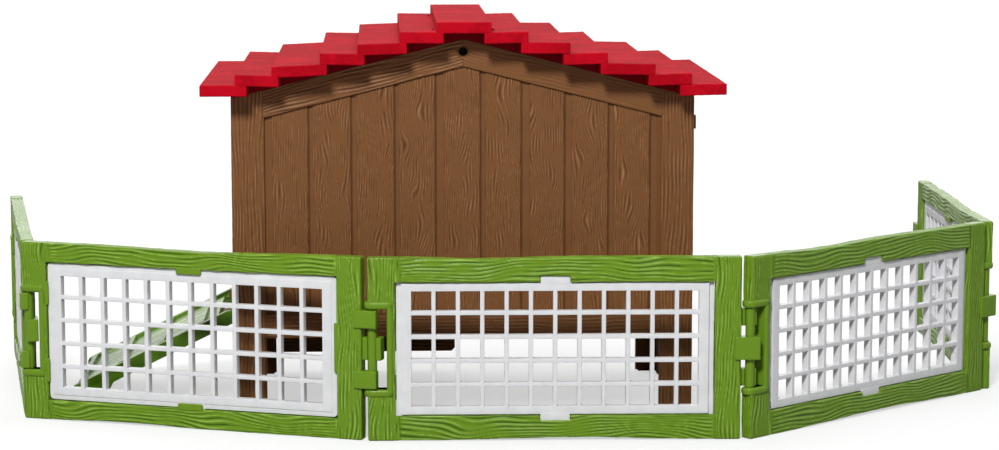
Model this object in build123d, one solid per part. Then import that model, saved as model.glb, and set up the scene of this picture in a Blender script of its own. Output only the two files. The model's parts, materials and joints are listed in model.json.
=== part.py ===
from build123d import *
import math
import os

# Toy rabbit hutch: a plank house on four corner legs with a stepped roof, a ramp, three doors
# and a five-panel clip-together fence. Millimetres, +Z up. The set is laid out with the outer
# face of the house's back wall on the plane Y = 0 and then moved so that the origin is the
# middle of its footprint on the ground.

# House shell
house_w = 127.7          # over the corner posts
house_d = 71.8           # over the front and back walls
wall_t = 3.0             # wall thickness at the posts and rails
wall_z = 23.5            # underside of the walls, which the legs hold up
eaves_z = 90.3           # top of the side walls
gable_rise = 16.2        # eaves to the top of the gables
post_w = 9.0             # corner post, and the leg under it, seen from front or back
side_post_w = 6.4        # the same post seen from the side
rail_h = 6.6             # bottom rail
trim_h = 7.6             # sloping board along the gable, measured upright
plank_sink = 0.6         # plank faces behind the posts, rails and trim
groove_sink = 0.6        # grooves between planks, behind the plank faces
plank_margins = (0.85, 2.15)   # posts to the outermost groove centres, left and right
groove_widths = (2.7, 1.4, 1.6, 1.4, 2.5, 1.4, 2.5, 2.2, 1.6, 2.2)
side_groove_w = 1.6
leg_round = 0.8          # bevelled toe of each leg
vent_r = 1.25            # round vent under each gable's apex
vent_drop = 3.5          # apex to vent centre

# How the walls and floor fit together
fit = 0.15               # assembly clearance on each side
rib_t = 2.2              # corner ribs that hold the side walls in place
rib_reach = 2.5
rib_top_gap = 6.0        # the ribs stop this far below the eaves
floor_t = 2.0
floor_z = 27.0           # underside of the floor, on its ledges
ledge_t = 2.0
ledge_reach = 2.0

# Roof: level boards stepping up to the ridge
roof_over = 8.2          # overhang in front of and behind the walls
board_t = 2.8
eaves_over = 8.05        # overhang of the lowest boards beyond the side walls
board_shares = (9.6, 10.0, 13.1, 10.2, 11.5, 10.0, 7.5)   # shown widths of the boards, eaves to ridge
ridge_gap = 2.25         # top of the gables to the underside of the ridge board
board_lap = 2.0          # how far a board reaches under the next one up
eaves_lap = 3.3          # the same for the lowest board, which rests on the gables there
board_bevel = 0.35
tongue_t = 1.6           # locating tongues inside the gables
tongue_drop = 4.0
tongue_gap = 0.3
tongue_clear_x = 8.0     # the tongues keep clear of the vents

# Shared hinge values
pin_fit = 0.06           # running clearance between a pin and its bore
swing_gap = 0.3          # clearance round a moving leaf
eye_wall = 1.1           # material round a hinge bore
eye_t = 2.4              # thickness of a hinge eye along its pin

# Ramp on the left side
ramp_y = 18.0            # near edge, from the back wall's outer face
ramp_w = 45.6
ramp_run = 44.8          # foot to hinge line, measured level
ramp_slope = 26.0        # degrees
stringer_w = 2.4
stringer_h = 3.9
deck_t = 2.0
deck_sink = 0.9          # deck below the stringers' top edge
cleat_w = 1.8
cleat_rise = 1.0
cleat_pitch = 12.7
first_cleat = 2.6        # ramp's lower end to its lowest cleat
deck_end = 1.0           # the deck stops this far from the ramp's lower end
foot_len = 7.6           # flat of the foot on the ground
foot_depth = 11.2        # the foot's inner edge, measured up the slope
foot_fillet = 1.5
nose_round = 1.2
ramp_drop = 0.6          # the ramp's head stands this far below the house floor
ramp_pin_r = 1.0

# Openings and doors
door_h = 40.0            # ramp doorway in the left wall
door_round = 6.0
flap_w = 53.1            # drop flap in the front wall
flap_len = 24.0
flap_t = 2.0
flap_x = -27.0           # middle of the flap
flap_round = 1.0           # bevelled corners of the flap and its opening
flap_lap = 2.6           # how far the closed flap covers the wall round its opening
flap_pin_r = 0.8
mesh_x = 30.0            # middle of the mesh door in the front wall
mesh_w = 42.0
mesh_h = 46.0
mesh_sill = 33.0
mesh_border = 5.0
mesh_cols = 4
mesh_rows = 5
leaf_t = 2.4             # thickness of the mesh door and the side door
leaf_pin_r = 0.7
leaf_pin_len = 2.2
side_door_y = 8.4        # hinge line of the side door, from the back wall's outer face
side_door_w = 42.0
side_door_sill = 42.2
side_door_h = 38.3
side_eye_out = 1.4       # the side door's hinge eyes stand out from the wall
side_eye_h = 3.6
pull_r = 1.5             # finger knob on the doors
pull_reach = 1.6

# Fence panel
fence_pitch = 101.8      # hinge line to hinge line
fence_h = 50.0
fence_t = 3.8
fence_rail = 6.9         # rails as seen on the -Y face
back_rail = 5.6          # rails as seen on the +Y face, where the grille's rebate is
lip_t = 1.3              # thickness of the frame in front of the rebate
bar_post_w = 7.55        # post at the bar end
clip_post_w = 7.2        # post at the clip end
bar_r = 1.3
bar_fit = 0.06
clip_gap = 2.5           # hinge line to the end of the clip post
clip_wall = 1.1
lip = 0.7                # how far the single clip reaches round behind the bar
clip_tip = 2.62          # hinge line to the tip of the single clip
clip_root = 4.3          # hinge line to the inner end of the single clip
pad_tip = 1.8            # the same two for the paired clips
pad_root = 4.6
window_h = 21.8          # opening beside the bar
window_x = 4.0           # hinge line to the window's inner side
mid_clip_h = 6.2
end_clip_h = 4.8
clip_play = 0.25         # upright clearance between a clip and the window's end
lug_h = 2.1              # raised bracket round the window
lug_out = 0.35
lug_x = 5.6
grille_t = 2.2
mesh_pitch_x = 6.54
mesh_pitch_z = 6.51
mesh_hole = 5.4
fence_cols = 12
fence_rows = 5
rim_w = 1.4              # sunk margin at the grille's two ends
key_w = 8.0              # tabs of the grille in the frame's front lip
key_reach = 1.75
key_root = 0.5           # how far a tab overlaps what it grows from
catch_w = 7.4            # the frame's catches over the back of the grille
catch_reach = 1.45
end_catch_w = 6.8
end_catch_reach = 0.65

# Where the fence stands, as photographed
centre_yaw = -1.2        # degrees, against the back wall
folds = {"2-1": 61.2, "3-2": 18.4, "3-4": 40.8, "4-5": 49.5}   # fold at each hinge line
fence_behind = 25.5      # centre panel's bar line to the back wall
fence_left = 85.5        # the same bar line, right of the ramp's foot


def upright(sketch, y_near, y_far):
    """A sketch drawn in X and Z, as a plate between two Y planes."""
    return Pos(0, y_far, 0) * (Plane.XZ * extrude(sketch, y_far - y_near))


def sideways(sketch, x_low, x_high):
    """A sketch drawn in Y and Z, as a plate between two X planes."""
    return Pos(x_low, 0, 0) * (Plane.YZ * extrude(sketch, x_high - x_low))


def rect(a0, a1, b0, b1):
    """A rectangle from its limits."""
    return Pos((a0 + a1) / 2, (b0 + b1) / 2) * Rectangle(a1 - a0, b1 - b0)


def block(x0, x1, y0, y1, z0, z1):
    """A box from its limits."""
    return Pos((x0 + x1) / 2, (y0 + y1) / 2, (z0 + z1) / 2) * Box(x1 - x0, y1 - y0, z1 - z0)


def polygon(points):
    """A closed face through the given points."""
    return make_face(Polyline(*points, close=True))


def rod(start, end, radius):
    """A round rod between two points that share two of their coordinates."""
    axis = Vector(*end) - Vector(*start)
    return Plane(origin=start, z_dir=axis) * extrude(Circle(radius), axis.length)


def lattice(x_mid, z_mid, cols, rows):
    """The square holes of a grille, drawn in X and Z."""
    holes = GridLocations(mesh_pitch_x, mesh_pitch_z, cols, rows) * Rectangle(mesh_hole, mesh_hole)
    return Pos(x_mid, z_mid) * Sketch(children=holes)


# House shell. The plank field lies between the posts.
half_w = house_w / 2
apex_z = eaves_z + gable_rise
slope = gable_rise / half_w
field_x = half_w - post_w


def gable_line(x, drop=0.0):
    """Height of the gable's sloping edge at x, lowered by drop."""
    return apex_z - slope * abs(x) - drop


def gable_band(x_max, top, bottom):
    """A band that follows the gable's slope, between two drops below its edge."""
    upper = [(x, gable_line(x, top)) for x in (-x_max, 0, x_max)]
    lower = [(x, gable_line(x, bottom)) for x in (x_max, 0, -x_max)]
    return polygon(upper + lower)


def groove_lines():
    """X of each groove between the gable's planks, from the left post to the right one."""
    first, last = plank_margins[0] - field_x, field_x - plank_margins[1]
    gaps = len(groove_widths) - 1
    return [first + (last - first) * i / gaps for i in range(gaps + 1)]


def gable_blank():
    """Gable wall on two legs with raised posts, rail and trim round a sunk field of planks."""
    outline = polygon([(-half_w, 0), (-field_x, 0), (-field_x, wall_z), (field_x, wall_z), (field_x, 0),
                       (half_w, 0), (half_w, eaves_z), (0, apex_z), (-half_w, eaves_z)])
    toes = outline.vertices().filter_by(lambda v: v.Y < 0.01)
    wall = upright(chamfer(toes, leg_round), 0, wall_t)
    rail_z = wall_z + rail_h
    planks = polygon([(-field_x, rail_z), (field_x, rail_z), (field_x, gable_line(field_x, trim_h)),
                      (0, gable_line(0, trim_h)), (-field_x, gable_line(field_x, trim_h))])
    cuts = Sketch()
    for x, width in zip(groove_lines(), groove_widths):
        cuts += rect(x - width / 2, x + width / 2, rail_z, apex_z)
    wall -= upright(planks, 0, plank_sink)
    wall -= upright(planks & cuts, 0, plank_sink + groove_sink)
    wall -= upright(Pos(0, apex_z - vent_drop) * Circle(vent_r), 0, wall_t)
    inner_x = half_w - wall_t - fit
    for side in (-1, 1):
        x0, x1 = sorted((side * inner_x, side * (inner_x - rib_t)))
        wall += block(x0, x1, wall_t, wall_t + rib_reach, wall_z, eaves_z - rib_top_gap)
    ledge_x = inner_x - rib_t
    wall += block(-ledge_x, ledge_x, wall_t, wall_t + ledge_reach, floor_z - ledge_t, floor_z)
    return wall


def back_wall():
    return gable_blank()


def front_wall():
    """The same gable turned to face the front, with a flap opening and a mesh door opening."""
    wall = Pos(0, house_d, 0) * mirror(gable_blank(), about=Plane.XZ)
    inner = house_d - wall_t
    jamb = wall_z + rail_h
    # solid surround of the mesh door, at full thickness
    x0, x1 = mesh_x - mesh_w / 2 - swing_gap, mesh_x + mesh_w / 2 + swing_gap
    z0, z1 = mesh_sill - swing_gap, mesh_sill + mesh_h + swing_gap
    head = z1 + leaf_pin_len + eye_wall
    wall += block(x0 - eye_wall, min(x1 + eye_wall, field_x), inner, house_d, jamb, head)
    wall -= block(x0, x1, inner, house_d, z0, z1)
    wall -= pin_bore(*mesh_axis(), z0, z1)
    # flap opening and the eyes on either side of the flap
    axis_y, axis_z = flap_axis()
    left, right = flap_x - flap_w / 2, flap_x + flap_w / 2
    low, high = axis_z + flap_lap, axis_z + flap_len - flap_lap
    opening = rect(left + flap_lap, right - flap_lap, low, high)
    wall -= upright(chamfer(opening.vertices(), flap_round), inner, house_d)
    bore = flap_pin_r + pin_fit
    reach = bore + eye_wall
    profile = Pos(axis_y, axis_z) * Circle(reach)
    profile += rect(house_d - plank_sink, axis_y, axis_z - reach, axis_z + reach)
    profile -= Pos(axis_y, axis_z) * Circle(bore)
    for x in (left - swing_gap - eye_t, right + swing_gap):
        wall += sideways(profile, x, x + eye_t)
    return wall


def pin_bore(x, y, z0, z1):
    """Bores for a door's end pins, above and below an opening from z0 to z1."""
    return rod((x, y, z0 - leaf_pin_len), (x, y, z1 + leaf_pin_len), leaf_pin_r + pin_fit)


def side_blank():
    """Side wall between the gables, on two legs, with the same rail, posts and sunk planks."""
    y0, y1 = wall_t, house_d - wall_t
    outline = polygon([(y0, 0), (y0 + side_post_w, 0), (y0 + side_post_w, wall_z), (y1 - side_post_w, wall_z),
                       (y1 - side_post_w, 0), (y1, 0), (y1, eaves_z), (y0, eaves_z)])
    toes = outline.vertices().filter_by(lambda v: v.Y < 0.01)
    wall = sideways(chamfer(toes, leg_round), half_w - wall_t, half_w)
    rail_z = wall_z + rail_h
    f0, f1 = y0 + side_post_w, y1 - side_post_w
    planks = rect(f0, f1, rail_z, eaves_z - rail_h)
    pitch = groove_lines()[1] - groove_lines()[0]
    count = round((f1 - f0) / pitch)
    step = (f1 - f0) / count
    cuts = Sketch()
    for i in range(count + 1):
        y = f0 + i * step
        cuts += rect(y - side_groove_w / 2, y + side_groove_w / 2, rail_z, eaves_z - rail_h)
    wall -= sideways(planks, half_w - plank_sink, half_w)
    wall -= sideways(planks & cuts, half_w - plank_sink - groove_sink, half_w)
    return wall


def left_wall():
    """Side wall with the doorway at the head of the ramp and two eyes that carry it."""
    wall = mirror(side_blank(), about=Plane.YZ)
    y0 = ramp_y + stringer_w + swing_gap
    y1 = ramp_y + ramp_w - stringer_w - swing_gap
    sill = floor_z + floor_t
    doorway = rect(y0 + eye_t, y1 - eye_t, sill, sill + door_h)
    doorway = fillet(doorway.vertices().filter_by(lambda v: v.Y > sill + 1), door_round)
    wall -= sideways(doorway, -half_w, -half_w + wall_t)
    axis_x, axis_z = ramp_axis()
    bore = ramp_pin_r + pin_fit
    profile = Pos(axis_x, axis_z) * Circle(bore + eye_wall)
    profile += rect(axis_x, -half_w + plank_sink, axis_z - bore - eye_wall, axis_z + bore + eye_wall)
    profile -= Pos(axis_x, axis_z) * Circle(bore)
    for y in (y0, y1 - eye_t):
        wall += upright(profile, y, y + eye_t)
    return wall


def right_wall():
    """Side wall with a hatch opening and the two eyes of its hinge standing out from the face."""
    wall = side_blank()
    axis_x, axis_y = side_axis()
    y0 = axis_y - leaf_t / 2 - swing_gap
    y1 = axis_y - leaf_t / 2 + side_door_w + swing_gap
    z0, z1 = side_door_sill - swing_gap, side_door_sill + side_door_h + swing_gap
    surround = rect(y0 - side_groove_w, y1 + side_groove_w, z0 - side_eye_h, z1 + side_eye_h)
    wall += sideways(surround, half_w - wall_t, half_w)
    wall -= sideways(rect(y0, y1, z0, z1), half_w - wall_t, half_w)
    eye = RectangleRounded(2 * side_eye_out, 2 * side_eye_out + leaf_t, side_eye_out - 0.1)
    for z in (z0 - side_eye_h, z1):
        wall += Pos(half_w, axis_y, z) * extrude(eye, side_eye_h)
    return wall - pin_bore(axis_x, axis_y, z0, z1)


def floor_panel():
    """Floor on the gables' ledges, with its corners cut away round the ribs."""
    x1 = half_w - wall_t - fit
    y0, y1 = wall_t + fit, house_d - wall_t - fit
    panel = block(-x1, x1, y0, y1, floor_z, floor_z + floor_t)
    notch_x, notch_y = rib_t + 2 * fit, rib_reach
    for x in (-1, 1):
        for y in (y0 + notch_y / 2, y1 - notch_y / 2):
            panel -= Pos(x * (x1 - notch_x / 2), y, floor_z + floor_t / 2) * Box(notch_x, notch_y, floor_t)
    return panel


# Roof
def board_edges():
    """Outer edge of each board from the ridge line, eaves to ridge."""
    run = half_w + eaves_over
    return [run * (1 - sum(board_shares[:i]) / sum(board_shares)) for i in range(len(board_shares))]


def board_top(i):
    """Height of the top face of board i: the lowest rests on the gables, the ridge board clears them."""
    lowest = gable_line(board_edges()[1] - eaves_lap)
    highest = apex_z + ridge_gap
    return lowest + (highest - lowest) * i / (len(board_shares) - 1) + board_t


def roof():
    """Thirteen level boards in steps, on ribs that sit on the gables, with locating tongues."""
    steps, filled = Sketch(), Sketch()
    edges = board_edges()
    inner_edges = [edge - board_lap for edge in edges[1:]] + [0]
    inner_edges[0] = edges[1] - eaves_lap
    for i, (outer, inner) in enumerate(zip(edges, inner_edges)):
        for side in (-1, 1):
            x0, x1 = sorted((side * outer, side * inner))
            steps += rect(x0, x1, board_top(i) - board_t, board_top(i))
            filled += rect(min(x0, 0), max(x1, 0), eaves_z - tongue_drop - rail_h, board_top(i))
    part = upright(steps, -roof_over, house_d + roof_over)
    rib = gable_band(half_w, -board_top(0) + eaves_z - board_t, 0) & filled
    part += upright(rib, 0, wall_t) + upright(rib, house_d - wall_t, house_d)
    tongue_x = half_w - wall_t - tongue_gap
    tongue = gable_band(tongue_x, -board_t, tongue_drop) & filled
    tongue -= rect(-tongue_clear_x, tongue_clear_x, 0, apex_z)
    near = wall_t + tongue_gap
    part += upright(tongue, near, near + tongue_t)
    part += upright(tongue, house_d - near - tongue_t, house_d - near)
    return part


# Ramp
def ramp_axis():
    """Hinge line of the ramp in X and Z: folded up, the deck side lies against the wall."""
    x = -half_w - swing_gap - stringer_h / 2
    level = floor_z + floor_t
    return x, level - stringer_h / 2 / math.cos(math.radians(ramp_slope)) - ramp_drop


def ramp():
    """Two stringers with feet, a deck with cleats between them, and pins into the wall's eyes."""
    axis_x, axis_z = ramp_axis()
    angle = math.radians(ramp_slope)
    down, up = Vector(-math.cos(angle), -math.sin(angle)), Vector(-math.sin(angle), math.cos(angle))
    pivot = Vector(axis_x, axis_z)
    half = stringer_h / 2

    def at(run, rise):
        point = pivot + down * run + up * rise
        return (point.X, point.Y)

    nose_x = axis_x - ramp_run
    run_top = (ramp_run - half * math.sin(angle)) / math.cos(angle)
    run_low = run_top - foot_depth
    side = polygon([at(0, half), at(run_top, half), (nose_x, 0), (nose_x + foot_len, 0),
                    at(run_low, -half), at(0, -half)])
    side = fillet(side.vertices().sort_by_distance(Vector(*at(run_top, half)))[0], nose_round)
    side = fillet(side.vertices().sort_by_distance(Vector(*at(run_low, -half)))[0], foot_fillet)
    side += Pos(pivot.X, pivot.Y) * Circle(half)
    y0, y1 = ramp_y, ramp_y + ramp_w
    part = upright(side, y0, y0 + stringer_w) + upright(side, y1 - stringer_w, y1)
    deck_top = half - deck_sink
    eye_clear = ramp_pin_r + pin_fit + eye_wall + swing_gap + deck_t / 2
    deck_run = run_top - deck_end
    deck = polygon([at(eye_clear, deck_top), at(deck_run, deck_top), at(deck_run, deck_top - deck_t),
                    at(eye_clear, deck_top - deck_t)])
    between = (y0 + stringer_w, y1 - stringer_w)
    part += upright(deck, *between)
    count = int((run_top - eye_clear) // cleat_pitch) + 1
    for i in range(count):
        run = run_top - first_cleat - i * cleat_pitch
        low, high = deck_top - deck_t / 2, deck_top + cleat_rise
        corners = ((run - cleat_w / 2, low), (run - cleat_w / 2, high), (run + cleat_w / 2, high),
                   (run + cleat_w / 2, low))
        part += upright(polygon([at(*corner) for corner in corners]), *between)
    for start, way in ((y0 + stringer_w, 1), (y1 - stringer_w, -1)):
        end = start + way * (swing_gap + eye_t)
        part += rod((axis_x, start, axis_z), (axis_x, end, axis_z), ramp_pin_r)
    return part


# Doors
def flap_axis():
    """Hinge line of the flap in Y and Z, just in front of the bottom rail."""
    return house_d + swing_gap + flap_t / 2, wall_z + rail_h


def flap_door():
    """Drop flap, hanging open below its hinge line, with a plank groove and end pins."""
    axis_y, axis_z = flap_axis()
    left, right = flap_x - flap_w / 2, flap_x + flap_w / 2
    leaf = rect(left, right, axis_z - flap_len, axis_z)
    free = leaf.vertices().filter_by(lambda v: v.Y < axis_z - 1)
    part = upright(chamfer(free, flap_round), axis_y - flap_t / 2, axis_y + flap_t / 2)
    part += rod((left, axis_y, axis_z), (right, axis_y, axis_z), flap_t / 2)
    for i in (1, 2):
        z = axis_z - i * flap_len / 3
        for y in (axis_y - flap_t / 2, axis_y + flap_t / 2):
            part -= Pos(flap_x, y, z) * Box(flap_w, groove_sink, side_groove_w)
    reach = swing_gap + eye_t
    part += rod((left - reach, axis_y, axis_z), (right + reach, axis_y, axis_z), flap_pin_r)
    return part


def mesh_axis():
    """Hinge line of the mesh door in X and Y, on its outer side."""
    return mesh_x + mesh_w / 2 - leaf_t / 2, house_d - leaf_t / 2


def mesh_door_frame():
    """Frame of the mesh door, flush in the front wall, rounded along its hinge side."""
    axis_x, axis_y = mesh_axis()
    x0, x1 = mesh_x - mesh_w / 2, mesh_x + mesh_w / 2
    z0, z1 = mesh_sill, mesh_sill + mesh_h
    ring = rect(x0, axis_x, z0, z1)
    ring -= rect(x0 + mesh_border, x1 - mesh_border, z0 + mesh_border, z1 - mesh_border)
    part = upright(ring, axis_y - leaf_t / 2, house_d)
    part += rod((axis_x, axis_y, z0), (axis_x, axis_y, z1), leaf_t / 2)
    reach = swing_gap + leaf_pin_len - fit
    part += rod((axis_x, axis_y, z0 - reach), (axis_x, axis_y, z1 + reach), leaf_pin_r)
    knob_x, knob_z = x0 + mesh_border / 2, (z0 + z1) / 2
    part += rod((knob_x, house_d, knob_z), (knob_x, house_d + pull_reach, knob_z), pull_r)
    return part


def mesh_door_grille():
    """Grille held in the mesh door's frame."""
    x0, x1 = mesh_x - mesh_w / 2 + mesh_border, mesh_x + mesh_w / 2 - mesh_border
    z0, z1 = mesh_sill + mesh_border, mesh_sill + mesh_h - mesh_border
    plate = rect(x0, x1, z0, z1) - lattice((x0 + x1) / 2, (z0 + z1) / 2, mesh_cols, mesh_rows)
    mid = house_d - leaf_t / 2
    return upright(plate, mid - leaf_t / 4, mid + leaf_t / 4)


def side_axis():
    """Hinge line of the side door in X and Y."""
    return half_w - leaf_t / 2, side_door_y


def side_door():
    """Plank hatch, flush in the right wall, rounded along its hinge side, with end pins."""
    axis_x, axis_y = side_axis()
    y1 = axis_y - leaf_t / 2 + side_door_w
    z0, z1 = side_door_sill, side_door_sill + side_door_h
    part = block(axis_x - leaf_t / 2, half_w, axis_y, y1, z0, z1)
    part += rod((axis_x, axis_y, z0), (axis_x, axis_y, z1), leaf_t / 2)
    for y in (axis_y + side_door_w / 3, axis_y + side_door_w * 2 / 3):
        part -= block(half_w - groove_sink, half_w, y - side_groove_w / 2, y + side_groove_w / 2, z0, z1)
    reach = swing_gap + leaf_pin_len - fit
    part += rod((axis_x, axis_y, z0 - reach), (axis_x, axis_y, z1 + reach), leaf_pin_r)
    return part


# Fence panel, drawn with its bar's hinge line on the Z axis and the clip end towards +X. The
# single clip is on the -Y face, the paired clips and the grille's rebate on the +Y face.
open_x = (bar_post_w - bar_r, fence_pitch - clip_gap - clip_post_w)
open_z = (fence_rail, fence_h - fence_rail)
rebate_z = (back_rail, fence_h - back_rail)
open_mid = (open_x[0] + open_x[1]) / 2
face_y = fence_t / 2
grille_y = grille_t / 2
mid_z = fence_h / 2


def clip(z0, z1, face):
    """One clip round the hinge line at the panel's far end: face -1 is the single clip."""
    inner, outer = bar_r + bar_fit, bar_r + bar_fit + clip_wall
    if face < 0:
        plan = rect(-clip_root, clip_tip, -outer, lip)
    else:
        plan = rect(-pad_root, pad_tip, 0, outer)
    plan -= Circle(inner)
    return Pos(fence_pitch, 0, z0) * extrude(plan, z1 - z0)


def fence_frame():
    """Frame with a bar in a window at one end and three clips, which close round a bar, at the other."""
    window = (mid_z - window_h / 2, mid_z + window_h / 2)
    outline = rect(-bar_r, fence_pitch - clip_gap, 0, fence_h)
    outline -= rect(-bar_r, window_x, *window)
    part = upright(outline, -face_y, face_y)
    part -= upright(rect(*open_x, *open_z), -face_y, face_y)
    part -= upright(rect(*open_x, *rebate_z), lip_t - face_y, face_y)
    bracket = rect(window_x, lug_x, window[0] - lug_h, window[1] + lug_h)
    part += upright(bracket, -face_y - lug_out, face_y + lug_out)
    for z in (window[0] - lug_h, window[1]):
        lug = Circle(face_y + lug_out) + rect(0, lug_x, -face_y - lug_out, face_y + lug_out)
        part += Pos(0, 0, z) * extrude(lug, lug_h)
    part += rod((0, 0, window[0]), (0, 0, window[1]), bar_r)
    part += clip(mid_z - mid_clip_h / 2, mid_z + mid_clip_h / 2, -1)
    part += clip(window[0] + clip_play, window[0] + clip_play + end_clip_h, 1)
    part += clip(window[1] - clip_play - end_clip_h, window[1] - clip_play, 1)
    part -= upright(grille_tabs(fit), -face_y, grille_y + fit)
    return part + upright(grille_catches(), grille_y + fit, face_y)


def grille_tabs(clearance):
    """The grille's tabs in the front lip at its top and bottom, grown by a clearance."""
    wide = key_w / 2 + clearance
    tabs = Sketch()
    for edge, way in ((open_z[0], -1), (open_z[1], 1)):
        z0, z1 = sorted((edge + way * (key_reach + clearance), edge - way * key_root))
        tabs += rect(open_mid - wide, open_mid + wide, z0, z1)
    return tabs


def grille_catches():
    """The frame's catches over the back of the grille: one above and below, two and one at the ends."""
    wide = catch_w / 2
    catches = rect(open_mid - wide, open_mid + wide, rebate_z[0] - key_root, rebate_z[0] + catch_reach)
    catches += rect(open_mid - wide, open_mid + wide, rebate_z[1] - catch_reach, rebate_z[1] + key_root)
    far = open_x[1]
    catches += rect(far - end_catch_reach, far + key_root, mid_z - end_catch_w, mid_z + end_catch_w)
    near = open_x[0]
    for z in (mid_z - window_h / 2, mid_z + window_h / 2):
        catches += rect(near - key_root, near + end_catch_reach, z - end_catch_w / 2, z + end_catch_w / 2)
    return catches


def fence_grille():
    """Grille that fills the rebate, with a raised field in the front opening and two tabs."""
    x0, x1 = open_x[0] + fit, open_x[1] - fit
    seat = lip_t - face_y + fit
    part = upright(rect(x0, x1, rebate_z[0] + fit, rebate_z[1] - fit), seat, grille_y)
    part += upright(rect(x0 + rim_w, x1 - rim_w, open_z[0] + fit, open_z[1] - fit), -grille_y, seat)
    part += upright(grille_tabs(0), -face_y, grille_y)
    return part - upright(lattice(open_mid, mid_z, fence_cols, fence_rows), -face_y, face_y)


def fence_places():
    """Hinge-line point and yaw of each panel, chained outwards from the centre panel."""
    def step(point, yaw, way):
        return (point[0] + way * fence_pitch * math.cos(math.radians(yaw)),
                point[1] + way * fence_pitch * math.sin(math.radians(yaw)))

    yaw = {3: centre_yaw}
    yaw[2] = yaw[3] - folds["3-2"]
    yaw[1] = yaw[2] - folds["2-1"]
    yaw[4] = yaw[3] + folds["3-4"]
    yaw[5] = yaw[4] + folds["4-5"]
    spot = {3: (ramp_axis()[0] - ramp_run + fence_left, -fence_behind)}
    spot[4] = step(spot[3], yaw[3], 1)
    spot[5] = step(spot[4], yaw[4], 1)
    spot[2] = step(spot[3], yaw[2], -1)
    spot[1] = step(spot[2], yaw[1], -1)
    return {k: (spot[k], yaw[k]) for k in sorted(yaw)}


# The set
def build():
    """Every node in the layout frame, where the back wall's outer face is on Y = 0."""
    nodes = {"back_wall": back_wall(), "front_wall": front_wall(), "left_wall": left_wall(),
             "right_wall": right_wall(), "floor_panel": floor_panel(), "roof": roof(), "ramp": ramp(),
             "flap_door": flap_door(), "side_door": side_door(), "mesh_door_frame": mesh_door_frame(),
             "mesh_door_grille": mesh_door_grille()}
    frame, grille = fence_frame(), fence_grille()
    turned = Pos(0, 0, mid_z) * Rot(180, 0, 0) * Pos(0, 0, -mid_z)
    for k, ((x, y), yaw) in fence_places().items():
        place = Pos(x, y, 0) * Rot(0, 0, yaw)
        if k < 3:
            place = place * turned
        nodes[f"fence_frame_{k}"] = place * frame
        nodes[f"fence_grille_{k}"] = place * grille
    return nodes


def footprint_shift(nodes):
    """The move that puts the origin at the middle of the footprint, on the ground."""
    boxes = [shape.bounding_box() for shape in nodes.values()]
    x = (min(b.min.X for b in boxes) + max(b.max.X for b in boxes)) / 2
    y = (min(b.min.Y for b in boxes) + max(b.max.Y for b in boxes)) / 2
    return (-x, -y)


nodes = build()
shift = footprint_shift(nodes)
os.makedirs("parts", exist_ok=True)
for name, shape in nodes.items():
    export_step(Pos(*shift, 0) * shape, f"parts/{name}.step")
print("origin moved by", [round(v, 3) for v in shift])
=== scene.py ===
import bpy
import json
import math
import numpy as np
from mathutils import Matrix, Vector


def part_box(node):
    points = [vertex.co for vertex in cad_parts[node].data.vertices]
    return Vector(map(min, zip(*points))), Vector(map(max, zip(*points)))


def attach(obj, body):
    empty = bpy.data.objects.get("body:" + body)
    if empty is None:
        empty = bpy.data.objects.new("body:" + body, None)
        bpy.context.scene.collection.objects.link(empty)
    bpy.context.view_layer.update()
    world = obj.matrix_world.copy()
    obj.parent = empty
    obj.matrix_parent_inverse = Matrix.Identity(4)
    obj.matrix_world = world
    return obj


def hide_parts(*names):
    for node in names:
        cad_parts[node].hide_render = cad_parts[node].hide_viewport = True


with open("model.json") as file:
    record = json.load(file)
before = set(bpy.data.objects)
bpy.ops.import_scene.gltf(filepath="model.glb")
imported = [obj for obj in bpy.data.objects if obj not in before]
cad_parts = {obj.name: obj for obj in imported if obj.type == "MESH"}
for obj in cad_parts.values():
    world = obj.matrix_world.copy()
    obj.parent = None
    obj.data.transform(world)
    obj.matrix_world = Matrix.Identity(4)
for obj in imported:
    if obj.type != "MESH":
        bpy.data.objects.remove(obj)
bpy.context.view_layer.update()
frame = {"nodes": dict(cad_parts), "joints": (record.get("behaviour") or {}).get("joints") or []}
scene = bpy.context.scene


# Fence frames: five alike panels moulded in green plastic, with bold wood grain pressed into rails
# and posts. Each has smooth parts for the clip hinge: a bar in a bracket at one end, clips at the other.
X, Y, Z = range(3)
pitch, tall, thick = 101.8, 50.0, 3.8     # lengths of meshes are in millimetres
half = thick / 2
rail_front, rail_back, lip_thick = 6.9, 5.6, 1.3
bar_radius, bar_post, clip_post, clip_gap, clip_play = 1.3, 7.55, 7.2, 2.5, 0.06
window_in, window_tall = 4.0, 21.8
window = (tall / 2 - window_tall / 2, tall / 2 + window_tall / 2)
opening = (bar_post - bar_radius, pitch - clip_gap - clip_post)
middle = sum(opening) / 2
grain_seam = opening[0] + 1.1     # the post's grain runs this far onto the rails
tab_half, tab_reach = 4.0, 1.75
recess_half, recess_floor = tab_half + 0.12, -0.95     # recess in the lips for the grille's tabs
plain_crest = 0.55     # plain plastic, where 0 is the bottom of a grain line and 1 a ridge top, which the materials paint pale as a highlight


def outline(corners, radius, step):
    """Closed line round a polygon: each corner is a parabola that starts and ends a radius away from it,
    corner + back (1-s)^2 + ahead s^2, and each straight side is divided into equal steps."""
    corners = np.array(corners, float)
    pieces = []
    for before, corner, after in zip(np.roll(corners, 1, 0), corners, np.roll(corners, -1, 0)):
        length = np.linalg.norm(after - corner)
        ahead = (after - corner) / length * radius
        back = (before - corner) / np.linalg.norm(before - corner) * radius
        s = np.linspace(0, 1, 5)[:, None]
        pieces.append(corner + back * (1 - s) ** 2 + ahead * s ** 2)
        count = max(1, round((length - 2 * radius) / step))
        s = np.linspace(0, 1, count + 1)[1:-1, None]
        pieces.append(corner + ahead + (after - corner - 2 * ahead) * s)
    return np.concatenate(pieces)


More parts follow.
